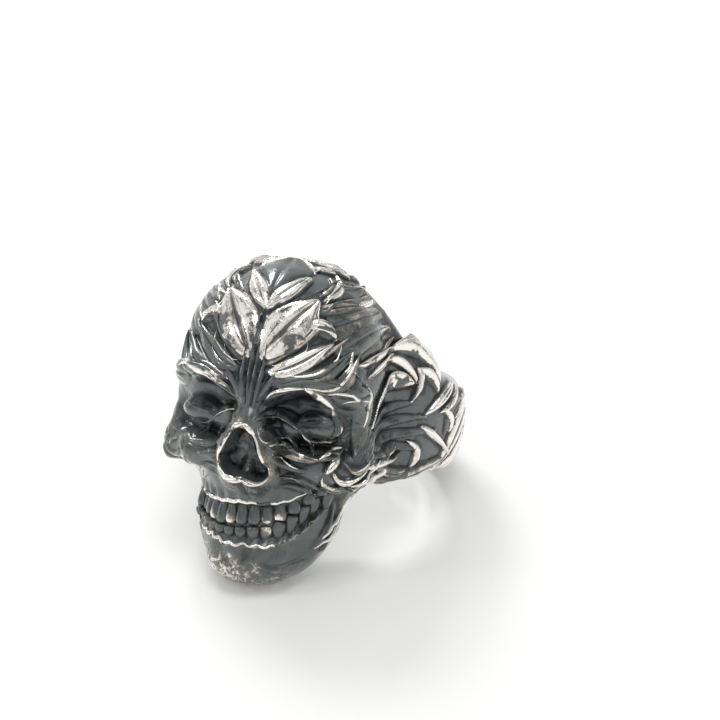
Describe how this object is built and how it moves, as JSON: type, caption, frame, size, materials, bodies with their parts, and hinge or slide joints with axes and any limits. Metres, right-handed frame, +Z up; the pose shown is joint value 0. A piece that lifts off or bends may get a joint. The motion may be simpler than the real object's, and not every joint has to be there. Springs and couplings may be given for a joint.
{
  "type": "statement ring",
  "caption": "Heavy cast silver ring with a skull face, bared teeth, and acanthus leaves that wrap the crown and run down both shoulders on to a domed band.",
  "frame": {"origin": "on the surface, below the middle of the resting ring's box", "axes": "+Z up from the surface, the face towards -Y, +X across the face; the finger's axis leans 17.5 degrees from +Z towards +Y"},
  "size_m": [0.0258, 0.0344, 0.0252],
  "materials": {
    "oxidised_silver": "oxidised silver, polished on its high spots"
  },
  "bodies": {
    "root": {"skull_ring": "oxidised_silver"}
  },
  "joints": []
}
